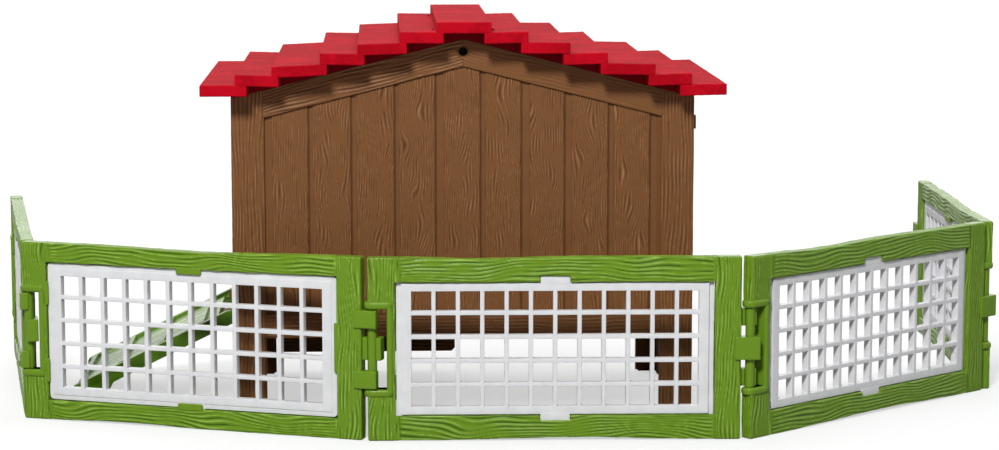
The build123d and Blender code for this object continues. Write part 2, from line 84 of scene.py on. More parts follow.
def rectangle(x0, x1, y0, y1, radius, step=0.3):
    """The outline of a rectangle with rounded corners."""
    return outline([(x0, y0), (x1, y0), (x1, y1), (x0, y1)], radius, step)


def arc(radius, start, end, count):
    """Points of an arc about the origin, radius (cos, sin), from the start angle to the end angle."""
    angle = np.linspace(start, end, count)
    return radius * np.stack([np.cos(angle), np.sin(angle)], axis=1)


def outward(ring):
    """Unit normals of a closed line that runs counter-clockwise: each is the tangent, taken from the two
    neighbouring points, turned a quarter clockwise."""
    tangent = np.roll(ring, -1, 0) - np.roll(ring, 1, 0)
    tangent /= np.linalg.norm(tangent, axis=1)[:, None]
    return np.stack([tangent[:, 1], -tangent[:, 0]], axis=1)


def bell(x, centre, width):
    """exp(-((x - centre) / width)^2): 1 at the centre and 0.37 a width away from it."""
    return np.exp(-((x - centre) / width) ** 2)


def pressed_lines(phase, along, fade, solid, rng):
    """Crest of pressed grain whose lines follow whole values of the phase: 0 in the lines, the plain crest
    between them and near 1 on thin ridges, that is plain + shown (0.4 wave^4 - plain (1 - wave)^3) with the
    phase's cosine as wave. Each line's shown part fades in and out along its own length."""
    wave = 0.5 + 0.5 * np.cos(2 * np.pi * phase)
    table = rng.uniform(size=(2, 97))
    line = np.floor(phase).astype(int) % 97
    shown = np.sin(2 * np.pi * (along / (fade * (0.7 + 0.6 * table[1][line])) + table[0][line]))
    shown = np.clip(0.5 + 0.5 * shown + solid, 0.15, 1)
    return plain_crest + shown * (0.4 * wave ** 4 - plain_crest * (1 - wave) ** 3)


def wood_grain(along, across, spacing, seed, sway=0.6, fade=24.0, solid=0.45, knots=()):
    """Grain that runs along a piece: the phase across / spacing sways with slow sine waves and rises by push
    rings over each oval knot, given as its place along and across, its reach and its push."""
    rng = np.random.default_rng(seed)
    phase = across / spacing + rng.uniform()
    for length in (90, 55, 34, 21, 13):
        size = sway * rng.uniform(0.5, 1.0) * (length / 60) ** 0.8
        phase = phase + size * np.sin(2 * np.pi * (along / length + across * rng.uniform(-0.08, 0.08)
                                                   + rng.uniform()))
    for knot_along, knot_across, reach, push in knots:
        oval = ((along - knot_along) / reach) ** 2 + ((across - knot_across) / (0.38 * reach)) ** 2
        phase = phase + push * np.exp(-oval)
    return pressed_lines(phase, along, fade, solid, rng)


def tube(ring, stations, shrink, axis, inset=None):
    """Grid of points and outward normals: the closed ring carried along one axis and drawn in by the inset
    times each station's shrink. The inset runs from -1 to 1 across the ring's box unless it is given, and
    the ring's two columns are the other two axes in order."""
    if inset is None:
        low, high = ring.min(0), ring.max(0)
        inset = 2 * (ring - low) / (high - low) - 1
    points = np.empty((len(stations), len(ring), 3))
    facing = np.zeros_like(points)
    others = [i for i in (X, Y, Z) if i != axis]
    points[..., others] = ring[None] - inset[None] * shrink[:, None, None]
    points[..., axis] = stations[:, None]
    facing[..., others] = outward(ring)[None]
    return points, facing


def run(start, end, step, rounding):
    """Stations from start to end about a step apart, and how far the ring draws in at each: at both ends a
    quarter circle, rounding * (1 - sin), or nothing without rounding."""
    turn = np.linspace(0, np.pi / 2, 4 if rounding else 1)[:-1]
    advance, drawn = rounding * (1 - np.cos(turn)), rounding * (1 - np.sin(turn))
    count = max(2, round((end - start - 2 * rounding) / step))
    straight = np.linspace(start + rounding, end - rounding, count + 1)
    stations = np.concatenate([start + advance, straight, end - advance[::-1]])
    shrink = np.concatenate([drawn, np.zeros(len(straight)), drawn[::-1]])
    return stations, shrink


def make_piece(name, tubes, material, body, node=None):
    """One mesh object from closed tubes, each a grid of points in millimetres in the row frame with a crest
    value per point. Quads join neighbouring rows and columns, one face closes each end, and a tube whose
    signed volume is negative has its faces turned round."""
    coords, crests, loops, starts, smooth = [], [], [], [], []
    offset, used = 0, 0
    for points, crest in tubes:
        rows, cols = points.shape[:2]
        index = np.arange(rows * cols).reshape(rows, cols)
        beside = np.roll(index, -1, axis=1)
        quads = np.stack([index[:-1], beside[:-1], beside[1:], index[1:]], axis=-1).reshape(-1, 4)
        flat = points.reshape(-1, 3)
        centre = flat.mean(0)
        a, b, c, d = (flat[quads[:, i]] - centre for i in range(4))
        volume = np.einsum("ij,ij->", a, np.cross(b, c)) + np.einsum("ij,ij->", a, np.cross(c, d))
        first, last = index[0][::-1], index[-1]
        if volume < 0:
            quads, first, last = quads[:, ::-1], first[::-1], last[::-1]
        loops += [quads.ravel() + offset, first + offset, last + offset]
        count = 4 * len(quads)
        starts.append(used + np.concatenate([np.arange(0, count, 4), [count, count + cols]]))
        smooth += [True] * len(quads) + [False, False]
        used += count + 2 * cols
        offset += len(flat)
        coords.append(flat)
        crests.append(np.broadcast_to(crest, (rows, cols)).ravel())
    coords, loops, starts = (np.concatenate(part) for part in (coords, loops, starts))
    mesh = bpy.data.meshes.new(name)
    mesh.vertices.add(len(coords))
    mesh.vertices.foreach_set("co", (coords / 1000).astype(np.float32).ravel())
    mesh.loops.add(len(loops))
    mesh.loops.foreach_set("vertex_index", loops.astype(np.int32))
    mesh.polygons.add(len(starts))
    mesh.polygons.foreach_set("loop_start", starts.astype(np.int32))
    mesh.polygons.foreach_set("use_smooth", smooth)
    mesh.update(calc_edges=True)
    shade = mesh.attributes.new("crest", "FLOAT", "POINT")
    shade.data.foreach_set("value", np.concatenate(crests).astype(np.float32))
    mesh.materials.append(material)
    piece = bpy.data.objects.new(name, mesh)
    scene.collection.objects.link(piece)
    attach(piece, body)
    if node:
        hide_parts(node)


class Wire:
    """An output socket in a material, with arithmetic that adds Math nodes."""

    def __init__(self, tree, socket):
        self.tree, self.socket = tree, socket

    def node(self, kind, inputs, output=0, **settings):
        """Adds any node with its settings, fed by wires or values, and returns one of its outputs."""
        made = self.tree.nodes.new(kind)
        for key, value in settings.items():
            setattr(made, key, value)
        for key, value in inputs.items():
            if isinstance(value, Wire):
                self.tree.links.new(value.socket, made.inputs[key])
            else:
                made.inputs[key].default_value = value
        return Wire(self.tree, made.outputs[output])

    def reckon(self, operation, first, second):
        """A Math node on two wires or numbers."""
        return self.node("ShaderNodeMath", {0: first, 1: second}, operation=operation)

    def __add__(self, other):
        return self.reckon("ADD", self, other)

    def __radd__(self, other):
        return self.reckon("ADD", other, self)

    def __sub__(self, other):
        return self.reckon("SUBTRACT", self, other)

    def __rsub__(self, other):
        return self.reckon("SUBTRACT", other, self)

    def __mul__(self, other):
        return self.reckon("MULTIPLY", self, other)

    def __rmul__(self, other):
        return self.reckon("MULTIPLY", other, self)

    def noise(self, scale, detail, **inputs):
        """A noise pattern on these coordinates."""
        return self.node("ShaderNodeTexNoise", {"Vector": self, "Scale": scale, "Detail": detail, **inputs})

    def span(self, low, high, to_low=0.0, to_high=1.0):
        """Maps low..high to to_low..to_high smoothly."""
        return self.node("ShaderNodeMapRange", {0: self, 1: low, 2: high, 3: to_low, 4: to_high},
                         interpolation_type="SMOOTHSTEP")

    def blend(self, first, second):
        """The first colour where this is 0 and the second where it is 1."""
        return self.node("ShaderNodeMix", {0: self, 6: first, 7: second}, output=2, data_type="RGBA")

    def feed(self, socket):
        """Links this to an input of a node that is already there."""
        self.tree.links.new(self.socket, socket)


def colour(red, green, blue):
    """A colour given as it looks on a screen, 0 to 255, in Blender's linear values."""
    share = np.array([red, green, blue]) / 255
    linear = np.where(share > 0.04045, ((share + 0.055) / 1.055) ** 2.4, share / 12.92)
    return (*linear.tolist(), 1.0)


def new_material(name, roughness, gloss=0.18):
    """A material, its shader and the object's own coordinates, from which patterns start."""
    material = bpy.data.materials.new(name)
    material.use_nodes = True
    shader = material.node_tree.nodes["Principled BSDF"]
    shader.inputs["Roughness"].default_value = roughness
    shader.inputs["Specular IOR Level"].default_value = gloss
    place = Wire(material.node_tree, None).node("ShaderNodeTexCoord", {}, output="Object")
    return material, shader, place


def crest_value(place):
    """The crest value stored in the mesh of a pressed piece."""
    return place.node("ShaderNodeAttribute", {}, output="Fac", attribute_name="crest")


def finish_material(shader, base, relief, distance):
    """Links a colour, and a height as a bump of that distance in metres, to the shader."""
    base.feed(shader.inputs["Base Color"])
    bump = relief.node("ShaderNodeBump", {"Strength": 0.5, "Distance": distance, "Height": relief})
    bump.feed(shader.inputs["Normal"])


def green_with_ridge_highlights():
    """Moulded green plastic: deep colour in the grain's lines, painted highlights on its ridges, slightly
    mottled.
    """
    material, shader, place = new_material("green_grain", roughness=0.3, gloss=0.24)
    mottle = place.noise(320.0, 3.0)
    speck = place.noise(1900.0, 2.0)
    mottle_and_painted_light = crest_value(place) + (mottle - 0.5) * 0.25
    tone = mottle_and_painted_light.span(0.0, 0.42).blend(colour(58, 92, 8), colour(108, 144, 32))
    # painted highlight: the grain's ridges turn pale green
    tone = mottle_and_painted_light.span(0.62, 1.0).blend(tone, colour(158, 192, 84))
    finish_material(shader, tone, speck + mottle, 0.0001)
    return material


def frame_relief(points, facing, seed, level):
    """Presses grain into a panel's rails and posts, bends their outer edges and sinks the lips where the
    grille's tabs lie: the points go inwards by depth * (1 - crest). Posts have finer upright lines, rails
    bolder lines that run along them."""
    x, y, z = points[..., X], points[..., Y], points[..., Z]
    rail_knots = ((25, level + 3.4, 9, 1.2), (72, level + 2.4, 12, -1.1))
    rails = wood_grain(x, z - y, 1.1, seed, knots=rail_knots)
    centre = np.where(x < pitch / 2, 2.5, pitch - clip_gap - clip_post / 2)
    post_knots = ((3, centre - 1, 7, 1.6), (46, centre + 1, 8, -1.4))
    posts = wood_grain(z, x - y, 0.9, seed + 7, sway=0.45, fade=16, solid=0.3, knots=post_knots)
    posts = 0.04 + 0.95 * posts

    # the posts' grain gives way to the rails' over a short blend, with a darker line at the seam
    blend = 0.8
    on_rail = np.clip((x - grain_seam) / blend + 0.5, 0, 1)
    on_rail = on_rail * np.clip((opening[1] - blend / 2 - x) / blend + 0.5, 0, 1)
    crest = posts + (rails - posts) * on_rail
    crest = crest * (1 - 0.4 * bell(x, grain_seam, 0.25) * (x > opening[0]))
    moved = points - facing * ((0.2 + 0.08 * on_rail) * (1 - crest))[..., None]

    upper = np.clip((z - tall + rail_front) / rail_front, 0, 1)
    lower = np.clip(1 - z / rail_front, 0, 1)
    inner = np.abs(z - tall / 2) < tall / 2 - rail_front + tab_reach
    recess = (np.abs(x - middle) < recess_half) & inner & (y < lip_thick - half)
    moved[..., Y] = np.where(recess, np.maximum(moved[..., Y], recess_floor), moved[..., Y])
    moved[..., Z] += 0.75 * lower * bell(x, 54, 24) - 0.55 * upper * bell(x, 29, 15)
    crest[[0, -1]] = plain_crest
    return moved, crest


def grained_bars(seed):
    """Posts and rails of a panel. The bar's post is narrower beside the window, and the rails' section has
    a lip on the front, behind which the grille lies."""
    edge, ring_step, round_end = 0.5, 0.24, 0.45
    bars = []

    def pressed(ring, low, high, axis, rounding=0, level=0.0):
        """A rail has extra stations at the grain's seam and at the edges of the recess."""
        stations, shrink = run(low, high, 0.55, rounding)
        if axis == X:
            seams = grain_seam + np.array((-0.2, 0, 0.2))
            edges = middle + recess_half * np.array((-1, 1))
            stations = np.sort(np.concatenate([stations, seams, edges - 0.03, edges + 0.03]))
            shrink = np.zeros(len(stations))
        points, facing = tube(ring, stations, shrink, axis)
        if rounding:
            facing[[0, -1]] = 0
        bars.append(frame_relief(points, facing, seed, level))

    wide = rectangle(-bar_radius, opening[0], -half, half, edge, ring_step)
    narrow = rectangle(window_in, opening[0], -half, half, edge, ring_step)
    pressed(wide, 0, window[0], Z, round_end)
    pressed(narrow, window[0] - 0.6, window[1] + 0.6, Z)
    pressed(wide, window[1], tall, Z, round_end)
    clip_side = rectangle(opening[1], pitch - clip_gap, -half, half, edge, ring_step)
    pressed(clip_side, 0, tall, Z, round_end)

    lip = lip_thick - half
    section = [(-half, 0), (half, 0), (half, rail_back), (lip, rail_back), (lip, rail_front),
               (-half, rail_front)]
    low_rail = outline(section, 0.45, ring_step)
    high_rail = low_rail[::-1] * (1, -1) + (0, tall)
    ends = (opening[0] - 0.4, opening[1] + 0.4)
    pressed(low_rail, *ends, X)
    pressed(high_rail, *ends, X, level=tall - rail_front)
    return bars


def smooth_part(ring, low, high, axis, rounding, shift=(0, 0, 0), inset=None, crest=plain_crest):
    """A plain rounded block, such as the hinge's parts, with one crest value all over."""
    points, _ = tube(ring, *run(low, high, 0.8, rounding), axis, inset)
    return points + np.array(shift, float), crest


def bracket():
    """The bracket round the window: two lugs, a web beside the window, and the bar between the lugs."""
    lug_tall, out, lug_in = 2.1, half + 0.35, 5.6
    straight = np.linspace(1.4, lug_in - 0.2, 4)
    lug = np.concatenate([arc(out, np.pi / 2, 3 * np.pi / 2, 15), [(x, -out) for x in straight],
                          [(x, out) for x in straight[::-1]]])
    parts = [smooth_part(lug, foot, foot + lug_tall, Z, 0.7) for foot in (window[0] - lug_tall, window[1])]
    web = rectangle(window_in - 0.1, lug_in, 0.02 - out, out - 0.02, 0.75)
    parts.append(smooth_part(web, window[0] - lug_tall, window[1] + lug_tall, Z, 1.2))
    bar = arc(bar_radius, 0, 2 * np.pi, 25)[:-1]
    parts.append(smooth_part(bar, window[0] - 0.3, window[1] + 0.3, Z, 0))
    return parts


def clip_ring(root, tip, mouth):
    """Outline of a clip round the hinge line: a rounded rectangle from root to tip, with the round bore cut
    into its upper side, whose height is the mouth. The bore is an arc traced clockwise."""
    bore, wall = bar_radius + clip_play, 1.1
    reach = math.sqrt(bore ** 2 - mouth ** 2)
    ring = outline([(root, -bore - wall), (tip, -bore - wall), (tip, mouth), (root, mouth)], 0.42, 0.6)
    upper = np.abs(ring[:, 1] - mouth) < 1e-6
    ring = ring[~(upper & (np.abs(ring[:, 0]) < reach))]
    upper = np.abs(ring[:, 1] - mouth) < 1e-6
    after = np.flatnonzero(upper & (ring[:, 0] > reach))[-1] + 1
    start = math.asin(mouth / bore)
    return np.insert(ring, after, arc(bore, start, -math.pi - start, 15), axis=0)


def clips():
    """One clip from the front and two from the back. Their ends are drawn in only outside the bore, so that
    it stays as wide there as inside."""
    single = clip_ring(-4.3, 2.62, 0.7)
    pair = (clip_ring(-4.6, 1.8, 0.0) * (1, -1))[::-1]
    parts = []
    for ring, foot, long in ((single, tall / 2 - 3.1, 6.2), (pair, window[0] + 0.25, 4.8),
                             (pair, window[1] - 5.05, 4.8)):
        outside = np.hypot(*ring.T) > bar_radius + clip_play + 0.01
        inset = outward(ring) * outside[:, None]
        parts.append(smooth_part(ring, foot, foot + long, Z, 0.2, (pitch, 0, 0), inset))
    return parts


def catches():
    """Small noses over the back of the grille: one on each rail, one on the clips' post and two on the
    bar's post."""
    rail_long, post_long, bar_long = 3.7, 6.8, 3.4     # half lengths
    lap, over = 0.5, 0.65
    spots = [(middle - rail_long, middle + rail_long, rail_back - lap, rail_back + 1.45),
             (middle - rail_long, middle + rail_long, tall - rail_back - 1.45, tall - rail_back + lap),
             (opening[1] - over, opening[1] + lap, tall / 2 - post_long, tall / 2 + post_long),
             (opening[0] - lap, opening[0] + over, window[0] - bar_long, window[0] + bar_long),
             (opening[0] - lap, opening[0] + over, window[1] - bar_long, window[1] + bar_long)]
    return [smooth_part(rectangle(*spot, 0.5), 1.25, half, Y, 0.3) for spot in spots]


def panel_frame(seed):
    """All tubes of one panel's frame, in the panel's own millimetres: X from the bar to the clips, the
    single clip on the -Y face."""
    return grained_bars(seed) + bracket() + clips() + catches()


def panel_places():
    """Bar position in millimetres and yaw in radians of each panel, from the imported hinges: a panel points
    from its own hinge line to the next, and the two end panels have their photographed yaw."""
    spots = {joint["name"]: np.array(joint["pos_m"][:2]) * 1000 for joint in frame["joints"]
             if joint["name"].startswith("fence_hinge")}
    bars = {k: spots[f"fence_hinge_{k - 1}_{k}"] for k in range(2, 6)}
    yaws = {k: math.atan2(*(bars[k + 1] - bars[k])[::-1]) for k in (2, 3, 4)}
    yaws[1], yaws[5] = math.radians(-80.8), math.radians(89.1)
    bars[1] = bars[2] - pitch * np.array([math.cos(yaws[1]), math.sin(yaws[1])])
    return {k: (bars[k], yaws[k]) for k in range(1, 6)}


panel_place = panel_places()


def stand_panel(points, k):
    """Panel millimetres to the row frame: panels 1 and 2 are turned over about X, then yaw and shift."""
    (bar_x, bar_y), yaw = panel_place[k]
    if k < 3:
        points = points * (1, -1, -1) + (0, 0, tall)
    x, y, z = points[..., X], points[..., Y], points[..., Z]
    return np.stack([bar_x + x * math.cos(yaw) - y * math.sin(yaw),
                     bar_y + x * math.sin(yaw) + y * math.cos(yaw), z], axis=-1)


green_grain = green_with_ridge_highlights()
panel_body = {k: "hutch" if k == 3 else f"fence_{k}" for k in range(1, 6)}
for k in range(1, 6):
    tubes = [(stand_panel(points, k), crest) for points, crest in panel_frame(20 + k)]
    make_piece(f"grained_frame_{k}", tubes, green_grain, panel_body[k], f"fence_frame_{k}")


# Grilles: white plastic inserts, one per panel, with rows of square holes between slim bars. A raised
# field fills the frame's opening, its sunk ends lie in the rebate, and two tabs key it to the rails.
hole_pitch_x, hole_pitch_z, hole, columns, rows = 6.54, 6.51, 5.4, 12, 5
grille_half, play, sunk_end, sunk_back = 1.1, 0.15, 1.4, 0.2
tab_long, tab_root = 1.65, 0.6
skin = 0.015     # bars that cross are this much thinner on each side, so that no two faces coincide


def grille_tubes():
    """Bars, borders, sunk ends and tabs of one grille as rounded blocks, in the panel's millimetres."""
    left, right = opening[0] + play, opening[1] - play
    low, high = rail_front + play, tall - rail_front - play
    seat = lip_thick - half + play
    bar = hole_pitch_x - hole
    edge, corner = 0.16, 1.2
    tubes = []

    def block(x0, x1, z0, z1, thinner=0, front=-grille_half, back=grille_half):
        """A block whose length lies along its longer side."""
        y0, y1 = front + thinner, back - thinner
        if x1 - x0 > z1 - z0:
            tubes.append(smooth_part(rectangle(y0, y1, z0, z1, edge, 1.0), x0, x1, X, edge))
        else:
            tubes.append(smooth_part(rectangle(x0, x1, y0, y1, edge, 1.0), z0, z1, Z, edge))

    first_x = middle - columns / 2 * hole_pitch_x
    first_z = tall / 2 - rows / 2 * hole_pitch_z
    field = (left + sunk_end, right - sunk_end)
    hole_x = (first_x + bar / 2, -first_x + 2 * middle - bar / 2)
    hole_z = (first_z + bar / 2, tall - first_z - bar / 2)
    for i in range(1, columns):
        x = first_x + i * hole_pitch_x
        block(x - bar / 2, x + bar / 2, low, high)
    for i in range(1, rows):
        z = first_z + i * hole_pitch_z
        block(*field, z - bar / 2, z + bar / 2, skin)
    block(field[0], hole_x[0], low, high)
    block(hole_x[1], field[1], low, high)
    block(*field, low, hole_z[0], 2 * skin)
    block(*field, hole_z[1], high, 2 * skin)

    # sunk ends in the rebate, and the tabs that reach over the rails' lips
    deep_low, deep_high = rail_back + play, tall - rail_back - play
    for x0, x1 in ((left, hole_x[0] - 2 * skin), (hole_x[1] + 2 * skin, right)):
        ring = rectangle(x0, x1, deep_low, deep_high, corner, 2.0)
        tubes.append(smooth_part(ring, seat, grille_half - sunk_back, Y, edge))
    for z0, z1 in ((deep_low, hole_z[0] - 0.04), (hole_z[1] + 0.04, deep_high)):
        block(left + corner, right - corner, z0, z1, 0, seat + 2 * skin, grille_half - sunk_back - 0.01)
    for z0, z1 in ((rail_front - tab_long, rail_front + tab_root),
                   (tall - rail_front - tab_root, tall - rail_front + tab_long)):
        block(middle - tab_half, middle + tab_half, z0, z1, 0, -grille_half - 0.02, grille_half - 0.075)
    return tubes


def satin_white():
    """White plastic with a faint mottled gloss."""
    material, shader, place = new_material("grille_satin", roughness=0.35)
    mottle = place.noise(260.0, 3.0)
    tone = mottle.span(0.3, 0.7).blend(colour(222, 223, 225), colour(230, 230, 232))
    finish_material(shader, tone, mottle, 0.00005)
    return material


grille_white = satin_white()
for k in range(1, 6):
    tubes = [(stand_panel(points, k), crest) for points, crest in grille_tubes()]
    make_piece(f"barred_grille_{k}", tubes, grille_white, panel_body[k], f"fence_grille_{k}")


# Walls: four moulded brown panels that stand round the floor panel. Upright planks lie in a sunk field
# between posts, a bottom rail and a trim along the gable, all with fine pressed grain, and the legs run
# on down from the posts.
house_wide, house_deep, wall_under = 127.7, 71.8, 23.5
post_wide, side_post, rail_tall, trim_tall = 9.0, 6.4, 6.6, 7.6
eaves, gable_rise = 90.3, 16.2
# the vent's crest value paints its blind hole nearly black as painted shade
vent_height, vent_radius, vent_deep, vent_shade_crest = 103.0, 1.4, 2.9, -8
field_half = house_wide / 2 - post_wide
plank_sunk, wall_thick = 0.6, 3.0
plank_form = {"proud": 0.2, "rim": 0.35, "depth": 0.18}
groove_lines = np.linspace(0.85 - field_half, field_half - 2.15, 10)
groove_wide = (2.7, 1.4, 1.6, 1.4, 2.5, 1.4, 2.5, 2.2, 1.6, 2.2)
wall_corner = np.array(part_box("back_wall")[0]) * 1000
house_x, house_y = wall_corner[X] + house_wide / 2, wall_corner[Y]
trim_grain_strength = {-1: 1.2, 1: 0.5}     # the trim's half at the lower X has the bolder grain and bolder painted highlights


def upright_face(axis, level, start, sign):
    """A plane across one level axis, as a function that places u along the plane from the start, v up it
    and out from it in the direction of the sign."""
    def place(u, v, out):
        along, off = start + u, level + sign * out
        return np.stack([off, along, v] if axis == X else [along, off, v], axis=-1)
    return place


back_face = upright_face(Y, house_y, house_x, -1)
front_face = upright_face(Y, house_y + house_deep, house_x, 1)
left_face = upright_face(X, house_x - house_wide / 2, house_y, -1)
right_face = upright_face(X, house_x + house_wide / 2, house_y, 1)


def gable_edge(u, drop=0.0):
    """Height of the gable's sloping edge at u, lowered by drop."""
    return eaves + gable_rise * (1 - np.abs(u) / (house_wide / 2)) - drop


def board(length, width, place, grain, level=0, proud=0.3, rim=0.5, depth=0.22, step=(0.7, 0.22), back=0.4):
    """A raised board as one closed tube. Its height over the wall's face is
    level + proud - rim (1 - sqrt(1 - (1 - edge)^2)) - depth (1 - crest) edge, where edge runs from 0 at its
    outline to 1 a rim inside it, and its two last columns close it inside the wall."""
    turn = 1 - np.cos(np.linspace(0, np.pi / 2, 4)[:-1])

    def stations(size, step):
        flat = np.linspace(rim, size - rim, max(3, round(size / step)))
        return np.concatenate([rim * turn, flat, size - rim * turn[::-1]])
    a, c = np.meshgrid(stations(length, step[0]), stations(width, step[1]), indexing="ij")
    near = np.minimum(np.minimum(a, length - a), np.minimum(c, width - c))
    edge = np.clip(near / rim, 0, 1)
    crest = grain(a, c)
    out = level + proud - rim * (1 - np.sqrt(1 - (1 - edge) ** 2)) - depth * (1 - crest) * edge
    out = np.concatenate([out, np.full((len(out), 2), level - back)], axis=1)
    a, c = (np.concatenate([grid, grid[:, -1:], grid[:, :1]], axis=1) for grid in (a, c))
    crest = np.concatenate([crest, crest[:, -2:]], axis=1)
    return place(a, c, out), crest


def level_board(face, u, v, length, width, grain, **form):
    """A board on a face whose length runs level from its corner at u and v."""
    return board(length, width, lambda a, c, out: face(u + a, v + c, out), grain, **form)


def upright_board(face, u, v, length, width, grain, **form):
    """A board on a face whose length runs up from its corner at u and v."""
    return board(length, width, lambda a, c, out: face(u + c, v + a, out), grain, **form)


def plank_grain(seed, long):
    """Fine upright grain that bulges round a row of small knots."""
    rng = np.random.default_rng(seed)
    knots = [(s + rng.uniform(-4, 4), rng.uniform(1, 10), rng.uniform(4, 7),
              rng.choice((-1, 1)) * rng.uniform(1.6, 2.4))
             for s in np.arange(rng.uniform(0, 9), long + 5, 11.0)]
    return lambda a, c: wood_grain(a, c, 0.72, seed, sway=0.5, fade=11, solid=0.22, knots=knots)


def post_grain(seed):
    """Bolder straight grain for posts, rails and trim."""
    return lambda a, c: wood_grain(a, c, 1.0, seed, sway=0.35, fade=26, solid=0.2)


def moulded_brown(name, deep, pale):
    """Brown plastic, deeper in the lines, with painted highlights on the ridges and painted shade, nearly
    black, inside a vent.
    """
    material, shader, place = new_material(name, roughness=0.5)
    mottle = place.noise(150.0, 4.0)
    speck = place.noise(1500.0, 2.0)
    mottle_and_painted_light = crest_value(place) + (mottle - 0.5) * 0.3
    tone = mottle_and_painted_light.span(0.05, 0.45).blend(colour(*deep), colour(122, 80, 46))
    # painted highlight: the grain's ridges turn pale
    tone = mottle_and_painted_light.span(0.62, 1.0).blend(tone, colour(*pale))
    # painted shade: nearly black inside the vent's blind hole
    tone = mottle_and_painted_light.span(vent_shade_crest + 2, -2).blend(colour(14, 8, 5), tone)
    finish_material(shader, tone, speck + mottle, 0.00008)
    return material


def gable_plank(face, seed, u0, u1, foot):
    """A sunk plank whose top follows the trim: each height is a share of the way from its foot up to the
    sloping edge."""
    long = gable_edge((u0 + u1) / 2, trim_tall) - foot

    def place(a, c, out):
        return face(u0 + c, foot + (a / long) * (gable_edge(u0 + c, trim_tall - 0.15) - foot), out)
    return board(long, u1 - u0, place, plank_grain(seed, long), -plank_sunk, **plank_form)


def gable_post(face, seed, side):
    """A corner post with its leg, from the ground to the sloping edge."""
    inner, long = (field_half if side > 0 else -house_wide / 2), 90

    def place(a, c, out):
        return face(inner + c, a / long * gable_edge(inner + c, 0.1), out)
    return board(long, post_wide, place, post_grain(seed + 20 + side), proud=0.16, depth=0.18)


def gable_trim(face, seed, side):
    """Half of the trim, from the ridge down to a post, with its half of the vent as a blind hole painted
    nearly black as shade.
    """
    def from_vent(a, c):
        return np.hypot(a, gable_edge(a, trim_tall) + c - vent_height)

    def place(a, c, out):
        away = from_vent(a, c)
        out = np.where(away < vent_radius + 0.3, -0.1, out)
        out = np.where(away < vent_radius, -vent_deep, out)
        return face(side * a, gable_edge(a, trim_tall) + c, out)

    def grain(a, c):
        crest = plain_crest + trim_grain_strength[side] * (post_grain(seed + 30 + side)(a, c) - plain_crest)
        # painted shade inside the vent
        return np.where(from_vent(a, c) < vent_radius + 0.05, vent_shade_crest, crest)
    return board(field_half + 0.3, trim_tall, place, grain, proud=0.3, depth=0.25, rim=0.35,
                 step=(0.35, 0.22), back=2.95)


def gable_boards(face, seed, plank_feet):
    """Planks from the given heights up to the trim, posts with legs, trim and bottom rail of one gable."""
    boards = []
    for i, foot in enumerate(plank_feet):
        left, right = groove_lines[i] + groove_wide[i] / 2, groove_lines[i + 1] - groove_wide[i + 1] / 2
        boards.append(gable_plank(face, seed + i, left, right, foot))
    for side in (-1, 1):
        boards += [gable_post(face, seed, side), gable_trim(face, seed, side)]
    boards.append(level_board(face, -field_half, wall_under, 2 * field_half, rail_tall, post_grain(seed + 40),
                              proud=0.16, depth=0.24, rim=0.4))
    return boards


def side_boards(face, seed, plank_feet, hatch=None):
    """Planks, posts with the gables' edges beside them, and level rails of one side wall. The first post is
    narrowed beside a hatch, given as its foot, its top and the post's edge there."""
    y0, y1 = wall_thick + side_post, house_deep - wall_thick - side_post
    lines = np.linspace(y0, y1, 6)
    half_groove = 0.8
    boards = []
    for i, foot in enumerate(plank_feet):
        left, right = lines[i] + half_groove, lines[i + 1] - half_groove
        long = eaves - rail_tall - foot
        boards.append(upright_board(face, left, foot, long, right - left, plank_grain(seed + i, long),
                                    level=-plank_sunk, **plank_form))
    for start, wide in ((0, wall_thick), (wall_thick, side_post), (y1, side_post),
                        (house_deep - wall_thick, wall_thick)):
        low, high, share = 0, 0, 1.0
        if hatch and start == wall_thick:
            low, high, share = hatch[0], hatch[1], (hatch[2] - start) / wide

        def post(a, c, out, start=start, low=low, high=high, share=share):
            return face(start + c * np.where((a > low) & (a < high), share, 1.0), a, out)
        boards.append(board(eaves - 0.2, wide, post, post_grain(seed + 20 + int(start)), proud=0.14,
                            depth=0.18, rim=0.45))
    for foot in (wall_under, eaves - rail_tall):
        boards.append(level_board(face, y0, foot, y1 - y0, rail_tall, post_grain(seed + 40 + int(foot)),
                                  proud=0.14, depth=0.22, rim=0.4))
    return boards


def groove_bottoms():
    """One shallow backing behind the planks of the gable that has no openings, a little darker than the
    planks, with painted shadow along the left corner of each groove."""
    foot, long = wall_under + rail_tall - 0.2, 60

    def place(a, c, out):
        u = a - field_half
        return back_face(u, foot + (gable_edge(u, trim_tall - 0.3) - foot) * c / long, out)

    def stain_and_shadow(a, c):
        corners = groove_lines - np.array(groove_wide) / 2
        gap = np.abs(a[..., None] - field_half - corners - 0.25).min(-1)
        # a little darker than the planks, with a painted shadow line along each groove's left corner
        return 0.38 - 0.4 * bell(gap, 0, 0.24)
    return board(2 * field_half, long, place, stain_and_shadow, -plank_sunk, proud=-0.34, rim=0.1, depth=0.0,
                 step=(0.25, 2.0), back=1.2)


def squeezed(points, low, high, top):
    """The heights from low to high drawn together so that they end at the top."""
    points = points.copy()
    points[..., Z] = low + (points[..., Z] - low) * (top - low) / (high - low)
    return points


def repaint(node, material):
    """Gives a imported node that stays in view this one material."""
    materials = frame["nodes"][node].data.materials
    materials.clear()
    materials.append(material)


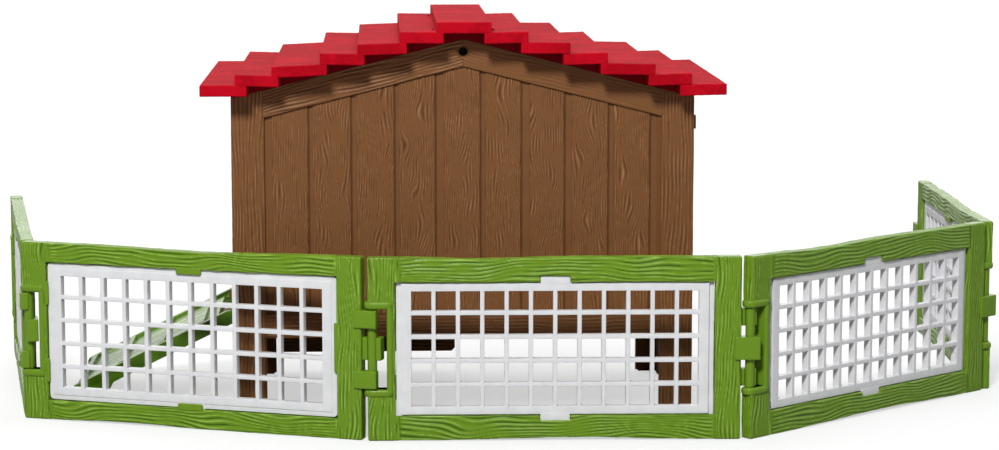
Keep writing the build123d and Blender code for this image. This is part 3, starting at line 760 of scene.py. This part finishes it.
board_brown = moulded_brown("board_brown", (92, 58, 30), (160, 118, 80))
wall_brown = moulded_brown("wall_brown", (116, 73, 38), (150, 110, 75))
plank_low = wall_under + rail_tall - 0.1
above_flap, above_mesh, above_doorway, below_hatch = 52.0, 83.0, 69.6, 38.1
hatch_foot, hatch_top, hatch_side = 41.6, 81.0, 6.8
back = gable_boards(back_face, 100, [plank_low] * 9) + [groove_bottoms()]
front = gable_boards(front_face, 200, [above_flap] * 5 + [above_mesh] * 4)
left = side_boards(left_face, 300, [plank_low] + [above_doorway] * 4)
right = side_boards(right_face, 400, [plank_low] * 5, (hatch_foot, hatch_top, hatch_side))
for i in range(4):
    right[i] = (squeezed(right[i][0], plank_low, eaves - rail_tall, below_hatch), right[i][1])
for name, boards in (("back", back), ("front", front), ("left", left), ("right", right)):
    make_piece(f"{name}_boards", boards, board_brown, "hutch")
for name in ("back_wall", "front_wall", "left_wall", "right_wall", "floor_panel"):
    repaint(name, wall_brown)


# Roof: thirteen red boards, stepped up to the ridge and each slightly out of level, on ribs that follow
# the gables' edges. It is one plastic moulding that lifts off.
roof_over, board_thick, eaves_over = 8.2, 2.8, 8.05
extra_thick, extra_high = 0.3, 0.25
board_shares = np.array((9.6, 10.0, 13.1, 10.2, 11.5, 10.0, 7.5))
ridge_gap, board_lap, eaves_lap = 2.25, 2.0, 3.3
left_tilt = (0.0, -0.03, 0.05, -0.02, 0.035, -0.01)
right_tilt = (0.02, 0.03, -0.02, 0.03, -0.01, 0.02)
roof_run = house_wide / 2 + eaves_over
outer_edge = roof_run * (1 - np.concatenate([[0], np.cumsum(board_shares)[:-1]]) / board_shares.sum())
lowest = gable_edge(outer_edge[1] - eaves_lap)
step_top = np.linspace(lowest, eaves + gable_rise + ridge_gap, len(board_shares)) + board_thick
tongue_out, tongue_in, tongue_drop, tongue_near = 3.3, 4.9, 4, 8
# crest value of the ribs, which the material paints a deeper red as painted shade
rib_shade_crest = -1.0


def roof_board(x0, x1, top, tilt, seed):
    """A board from the front eave to the back one: a rounded section in X and Z, whose top is pressed with
    faint grain and whose height changes by tilt times the distance from its middle."""
    ring = rectangle(x0, x1, top - board_thick - extra_thick, top, 0.3, 0.45)
    stations, shrink = run(-roof_over, house_deep + roof_over, 1.1, 0.3)
    points, facing = tube(ring, stations, shrink, Y)
    grain = wood_grain(points[..., Y], points[..., X], 2.2, seed)
    grain = plain_crest + 0.25 * (grain - plain_crest)
    points = points - facing * (0.2 * (0.67 - grain))[..., None]
    points[..., Z] += tilt * (points[..., X] - (x0 + x1) / 2) - abs(tilt) * (x1 - x0) / 2
    return points + (house_x, house_y, 0), grain


def roof_boards():
    """Six boards on each side, each lapped by the next one up, and the ridge board."""
    boards = []
    for i, top in enumerate(step_top[:-1]):
        inner = outer_edge[i + 1] - (board_lap if i else eaves_lap)
        boards.append(roof_board(-outer_edge[i], -inner, top + extra_high, left_tilt[i], 510 + i))
        boards.append(roof_board(inner, outer_edge[i], top + extra_high, right_tilt[i], 530 + i))
    ridge = len(step_top) - 1
    boards.append(roof_board(-outer_edge[ridge], outer_edge[ridge], step_top[ridge], 0, 500 + ridge))
    return boards


def roof_ribs():
    """Ribs between the boards' undersides and the gables, and the tongues that locate the roof: upright
    plates whose lower edge is the gable line, lowered for the tongues."""
    plates = []
    for side in (-1, 1):
        stairs = []
        for outer, inner, top in zip(outer_edge, np.append(outer_edge[1:], 0), step_top):
            under = top - board_thick + 0.3
            stairs += [(min(outer, house_wide / 2), under), (inner, under)]
        for y0, y1, drop, near in ((0, wall_thick, 0, 0), (house_deep - wall_thick, house_deep, 0, 0),
                                   (tongue_out, tongue_in, tongue_drop, tongue_near),
                                   (house_deep - tongue_in, house_deep - tongue_out, tongue_drop,
                                    tongue_near)):
            far = house_wide / 2 - (tongue_out if drop else 0)
            upper = [(max(min(x, far), near), z) for x, z in stairs if x >= near or z == stairs[-1][1]]
            corners = np.array([(far, gable_edge(far, drop)), *upper, (near, gable_edge(near, drop))])
            corners[:, 0] += np.linspace(0, 1e-3, len(corners))     # no two corners may coincide
            ring = (corners * (side, 1))[::side]     # a mirrored ring runs the other way round
            plates.append(smooth_part(ring, y0, y1, Y, 0, (house_x, house_y, 0), crest=rib_shade_crest))
    return plates


def stained_red():
    """Red plastic with darker stains and a dull surface; the ribs are painted a deeper red as shade."""
    material, shader, place = new_material("roof_red", roughness=0.7, gloss=0.035)
    crest = crest_value(place)
    stain_and_shadow = place.noise(85.0, 6.0, Roughness=0.6)
    speck = place.noise(900.0, 3.0)
    tone = (stain_and_shadow + (speck - 0.5) * 0.3 + (crest - plain_crest) * 0.4).span(0.4, 0.6)
    tone = tone.blend(colour(168, 6, 24), colour(190, 9, 30))
    # painted shade: the ribs under the boards turn a deeper red
    tone = crest.span(rib_shade_crest, 0).blend(colour(128, 6, 24), tone)
    finish_material(shader, tone, speck + stain_and_shadow, 0.0002)
    return material


make_piece("stepped_roof", roof_boards() + roof_ribs(), stained_red(), "roof", "roof")


# Ramp: a green moulding of two stringers and a deck with cross cleats, with pale streaks of painted sheen
# along its boards. It hangs by two pins from the left wall and stands on its foot.
ramp_slope = math.radians(26)
stringer_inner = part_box("ramp")[0][Y] + 0.0024     # in metres, as the shader reads places
streak_long, streak_wide = 0.022, 0.0022


def streaked_green():
    """Green plastic: plain stringers, and a deck with long dark streaks and pale streaks of painted sheen
    down the slope.
    """
    material, shader, place = new_material("ramp_streaks", roughness=0.35, gloss=0.24)
    turned = place.node("ShaderNodeMapping", {"Vector": place, "Rotation": (0, -ramp_slope, 0),
                                              "Scale": (streak_long, streak_wide, streak_wide)},
                        vector_type="TEXTURE")
    streak = turned.noise(1.0, 4.0, Distortion=0.8)
    patch = place.noise(110.0, 3.0)
    mottle_and_painted_light = streak + (patch - 0.5) * 0.35
    deck = mottle_and_painted_light.span(0.34, 0.5).blend(colour(56, 86, 16), colour(98, 136, 40))
    # painted sheen: the deck's pale streaks
    deck = mottle_and_painted_light.span(0.52, 0.68).blend(deck, colour(180, 202, 150))
    stringer = streak.span(0.3, 0.7).blend(colour(70, 114, 12), colour(100, 142, 30))
    across = place.node("ShaderNodeSeparateXYZ", {0: place}, output="Y")
    tone = across.span(stringer_inner - 0.0006, stringer_inner).blend(stringer, deck)
    finish_material(shader, tone, streak, 0.0003)
    return material


repaint("ramp", streaked_green())


# Mesh door: a green frame round a small white grille, hung on two end pins in the front wall. Each side
# of the frame is pressed with grain along it, and a knob stands out from the free side.
mesh_left, mesh_right, mesh_foot, mesh_top, mesh_border = 9.0, 51.0, 33.0, 79.0, 5.0
mesh_inner = mesh_right - mesh_left - 2 * mesh_border
hinge_round = 1.4     # the frame is rounded along its hinge side, so the board there is narrower
sides = []
for foot in (mesh_foot, mesh_top - mesh_border):
    sides.append(level_board(front_face, mesh_left + mesh_border, foot, mesh_inner, mesh_border,
                             post_grain(600 + int(foot)), proud=0.2, depth=0.18))
for start, wide in ((mesh_left, mesh_border), (mesh_right - mesh_border, mesh_border - hinge_round)):
    sides.append(upright_board(front_face, start, mesh_foot, mesh_top - mesh_foot, wide,
                               post_grain(640 + int(start)), proud=0.2, depth=0.18))
make_piece("mesh_door_sides", sides, green_grain, "mesh_door")
repaint("mesh_door_frame", green_grain)
repaint("mesh_door_grille", grille_white)


# Drop flap and side door: brown leaves with end pins. The flap has three level boards on both faces and
# hangs open in front of the legs; the door has three upright boards and is flush with the right wall.
flap_left, flap_long, flap_edge, flap_tall = -53.5, 53.1, 30.1, 24.0
end_margin, half_gap = 0.4, 0.75
flap_low, flap_high = (np.array(corner) * 1000 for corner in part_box("flap_door"))
flap_boards = []
for i in range(3):
    foot = flap_edge - (i + 1) * flap_tall / 3 + half_gap
    for level, sign, seed in ((flap_high[Y], 1, 700), (flap_low[Y], -1, 710)):
        flap_boards.append(level_board(upright_face(Y, level, house_x, sign), flap_left + end_margin, foot,
                                       flap_long - 2 * end_margin, flap_tall / 3 - 2 * half_gap,
                                       post_grain(seed + i), proud=0.14, depth=0.12, rim=0.35))
make_piece("flap_boards", flap_boards, board_brown, "flap_door")
door_foot, door_long = 42.5, 37.7
door_boards = []
for start, end in ((8.8, 21.6), (23.2, 35.6), (37.2, 48.9)):
    door_boards.append(upright_board(right_face, start, door_foot, door_long, end - start,
                                     plank_grain(720 + int(start), door_long), **plank_form))
make_piece("door_boards", door_boards, board_brown, "side_door")
for name in ("flap_door", "side_door"):
    repaint(name, wall_brown)


# View, floor and light: the photograph's view of the fence and the back gable from slightly above, on a
# white studio floor, under soft light from the upper left.
camera = bpy.data.objects.new("camera", bpy.data.cameras.new("camera"))
scene.collection.objects.link(camera)
scene.camera = camera
camera.location = (-0.03288, -0.79214, 0.15673)
camera.rotation_euler = (math.radians(82.13), 0, math.radians(-2.59))
camera.data.lens = 96.70
camera.data.sensor_width = 36
camera.data.clip_start = 0.01
scene.view_settings.view_transform = "Standard"


def studio_white():
    """A pale floor that glows white for the camera alone: the glow's share grows with the distance from the
    middle and behind it, so that the shadow near the object stays."""
    material, shader, place = new_material("studio_white", roughness=0.9)
    seen = place.node("ShaderNodeLightPath", {}, output="Is Camera Ray")
    seen.blend(colour(175, 175, 175), colour(250, 250, 250)).feed(shader.inputs["Base Color"])
    distance = place.node("ShaderNodeVectorMath", {0: place}, output="Value", operation="LENGTH")
    behind = place.node("ShaderNodeSeparateXYZ", {0: place}, output="Y")
    share = distance.span(0.2, 0.55, 0.52, 1.0) + behind.span(0.0, 0.065, 0.0, 0.29)
    share = seen * share.reckon("MINIMUM", share, 1.0)
    glow = place.node("ShaderNodeEmission", {"Color": colour(255, 255, 255), "Strength": 1.08})
    ground = place.node("ShaderNodeMixShader", {0: share, 1: Wire(place.tree, shader.outputs[0]), 2: glow})
    ground.feed(place.tree.nodes["Material Output"].inputs["Surface"])
    return material


def studio_floor():
    """A square plane under the object."""
    mesh = bpy.data.meshes.new("studio_floor")
    reach = 6.0
    mesh.from_pydata([(-reach, -reach, 0), (reach, -reach, 0), (reach, reach, 0), (-reach, reach, 0)], [],
                     [(0, 1, 2, 3)])
    mesh.materials.append(studio_white())
    piece = bpy.data.objects.new("studio_floor", mesh)
    scene.collection.objects.link(piece)


def studio_world():
    """White to the camera, dim in front of the object and brighter behind it for the light that falls on
    it, and brighter still where a glossy surface mirrors it."""
    world = bpy.data.worlds.new("studio")
    scene.world = world
    world.use_nodes = True
    seen = Wire(world.node_tree, None).node("ShaderNodeLightPath", {}, output="Is Camera Ray")
    mirrored = seen.node("ShaderNodeLightPath", {}, output="Is Glossy Ray")
    direction = seen.node("ShaderNodeTexCoord", {}, output="Generated")
    behind = seen.node("ShaderNodeSeparateXYZ", {0: direction}, output="Y")
    around = behind.span(-0.3, 0.6, 0.04, 0.8) + mirrored * behind.span(-0.9, 0.1, 0.1, 1.0)
    strength = seen.node("ShaderNodeMix", {0: seen, 2: around, 3: 1.0}, data_type="FLOAT")
    background = world.node_tree.nodes["Background"]
    background.inputs["Color"].default_value = (1, 1, 1, 1)
    strength.feed(background.inputs["Strength"])


def soft_lamp(name, place, target, size, watts):
    """A square lamp that faces the target."""
    lamp = bpy.data.lights.new(name, "AREA")
    lamp.size = size
    lamp.energy = watts
    piece = bpy.data.objects.new(name, lamp)
    scene.collection.objects.link(piece)
    piece.location = place
    away = np.array(place) - np.array(target)
    level = math.hypot(away[0], away[1])
    piece.rotation_euler = (math.atan2(level, away[2]), 0, math.atan2(away[1], away[0]) + math.pi / 2)


studio_floor()
studio_world()
soft_lamp("key_lamp", (-0.22, -0.92, 0.78), (0, 0, 0.05), 0.2, 12.2)
soft_lamp("top_lamp", (0.1, 0.1, 1.4), (0, 0, 0.05), 1.2, 3)
